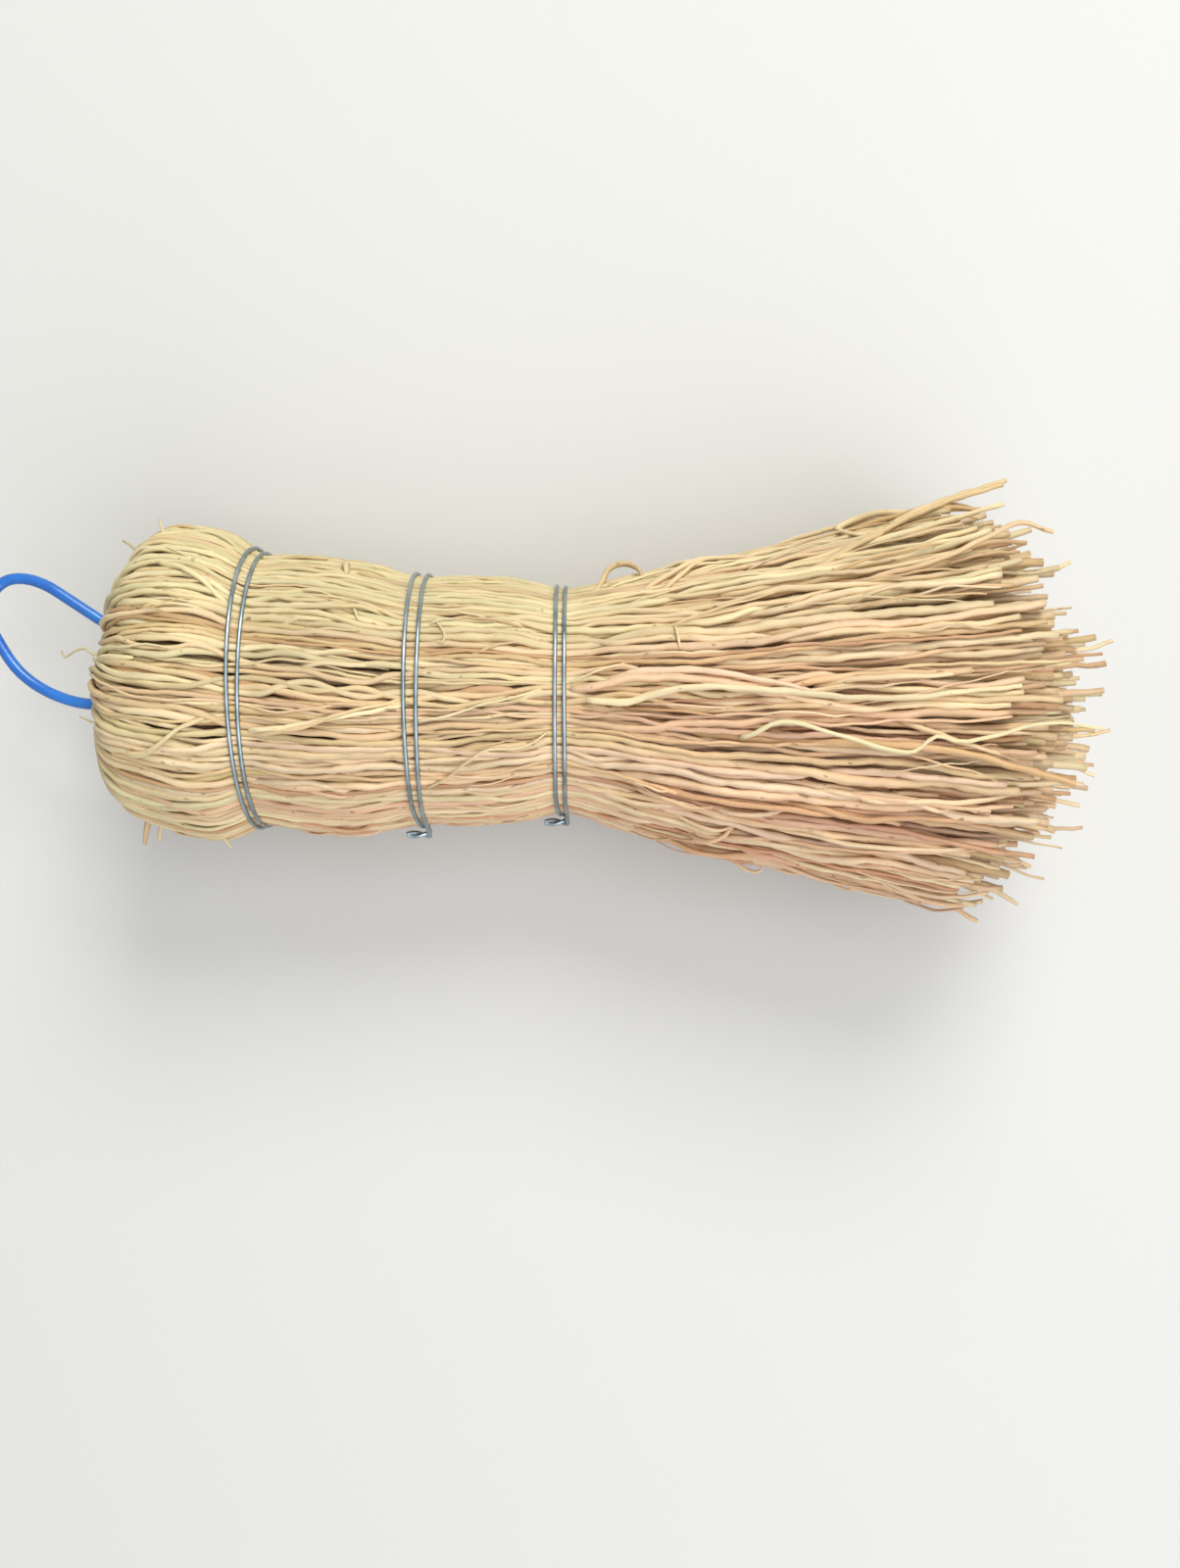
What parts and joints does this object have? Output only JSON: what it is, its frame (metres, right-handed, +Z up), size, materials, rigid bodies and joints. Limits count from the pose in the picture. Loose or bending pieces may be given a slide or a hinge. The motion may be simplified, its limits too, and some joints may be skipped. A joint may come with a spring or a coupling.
{
  "type": "root fiber scrub brush",
  "caption": "Scrub brush of long plant roots, folded over at the head and bound by wire, with a splayed fan of free ends and a cord loop for hanging.",
  "frame": {"origin": "on the surface that the brush lies on, under the middle of its bounding box without the hanging loop", "axes": "+X along the brush from the folded head towards the free tips, +Z up"},
  "size_m": [0.191, 0.0786, 0.0601],
  "materials": {
    "root_fiber": "matte natural plant root, straw to tan",
    "binding_wire": "drawn galvanised steel, dark grey",
    "loop_cord": "glossy blue plastic cord"
  },
  "bodies": {
    "root": {"hanging_loop": "loop_cord", "inner_tips_1": "root_fiber", "inner_tips_2": "root_fiber", "inner_tips_3": "root_fiber", "inner_tips_4": "root_fiber", "inner_tips_5": "root_fiber", "inner_tips_6": "root_fiber", "outer_roots_01": "root_fiber", "outer_roots_02": "root_fiber", "outer_roots_03": "root_fiber", "outer_roots_04": "root_fiber", "outer_roots_05": "root_fiber", "outer_roots_06": "root_fiber", "outer_roots_07": "root_fiber", "outer_roots_08": "root_fiber", "outer_roots_09": "root_fiber", "outer_roots_10": "root_fiber", "outer_roots_11": "root_fiber", "outer_roots_12": "root_fiber", "packed_roots": "root_fiber", "wire_band_head": "binding_wire", "wire_band_middle": "binding_wire", "wire_band_neck": "binding_wire"}
  },
  "joints": []
}
